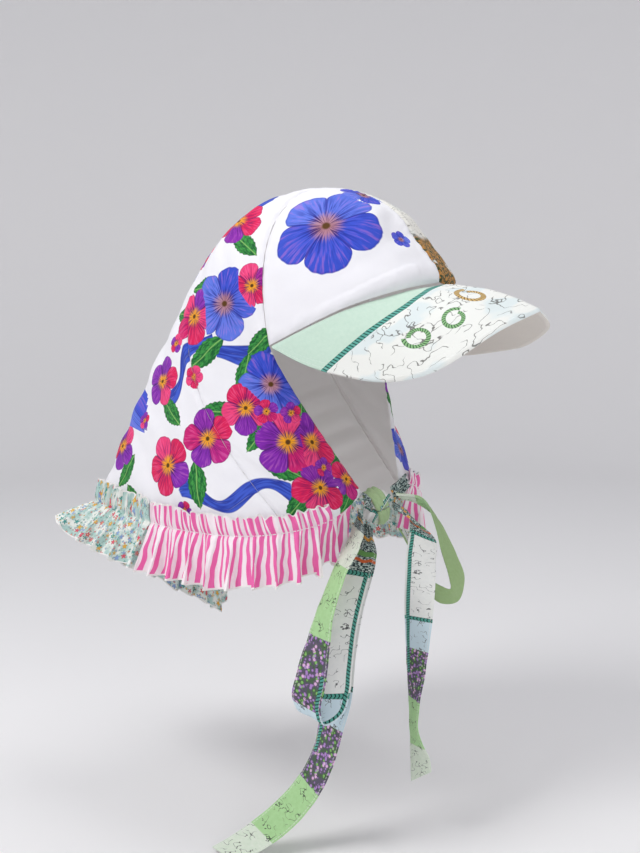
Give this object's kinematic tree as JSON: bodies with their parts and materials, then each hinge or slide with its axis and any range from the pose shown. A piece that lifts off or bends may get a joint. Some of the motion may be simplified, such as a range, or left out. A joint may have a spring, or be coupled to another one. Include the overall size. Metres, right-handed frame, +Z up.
{
  "type": "babushka cap",
  "caption": "Cloth cap with a wide curved peak and a long hood that falls to a gathered ruffle, tied under the chin with a bow.",
  "frame": {"origin": "the inside of the crown's top, where the wearer's head carries the cap", "axes": "+Z up, -Y the way the face looks, -X the wearer's right, as the cap is worn"},
  "size_m": [0.2593, 0.4114, 0.5211],
  "materials": {
    "printed_cotton": "white cotton with large pink, violet and blue flowers, leaves and wavy blue bands, soft and matt",
    "pale_print": "off-white cotton with fine ink marks, matt",
    "pale_linen": "pale mint and white linen with printed rope lines, matt, over a stiffener",
    "pink_stripe": "pink and white striped cotton, matt, with an overlocked white edge",
    "small_flowers": "lawn with small scattered flowers, matt, with an overlocked edge",
    "tie_linen": "printed linen strips with a sage green reverse, matt"
  },
  "bodies": {
    "root": {"crown_front_right": "printed_cotton", "crown_front_left": "pale_print", "hood_side_right": "printed_cotton", "hood_side_left": "printed_cotton", "hood_back": "printed_cotton", "peak": "pale_linen", "ruffle_right": "pink_stripe", "ruffle_back": "small_flowers", "ruffle_left": "small_flowers", "knot": "tie_linen", "strap_right": "tie_linen", "strap_left": "tie_linen", "loop_right": "tie_linen", "loop_left": "tie_linen", "tail_right": "tie_linen", "tail_left": "tie_linen"}
  },
  "joints": []
}
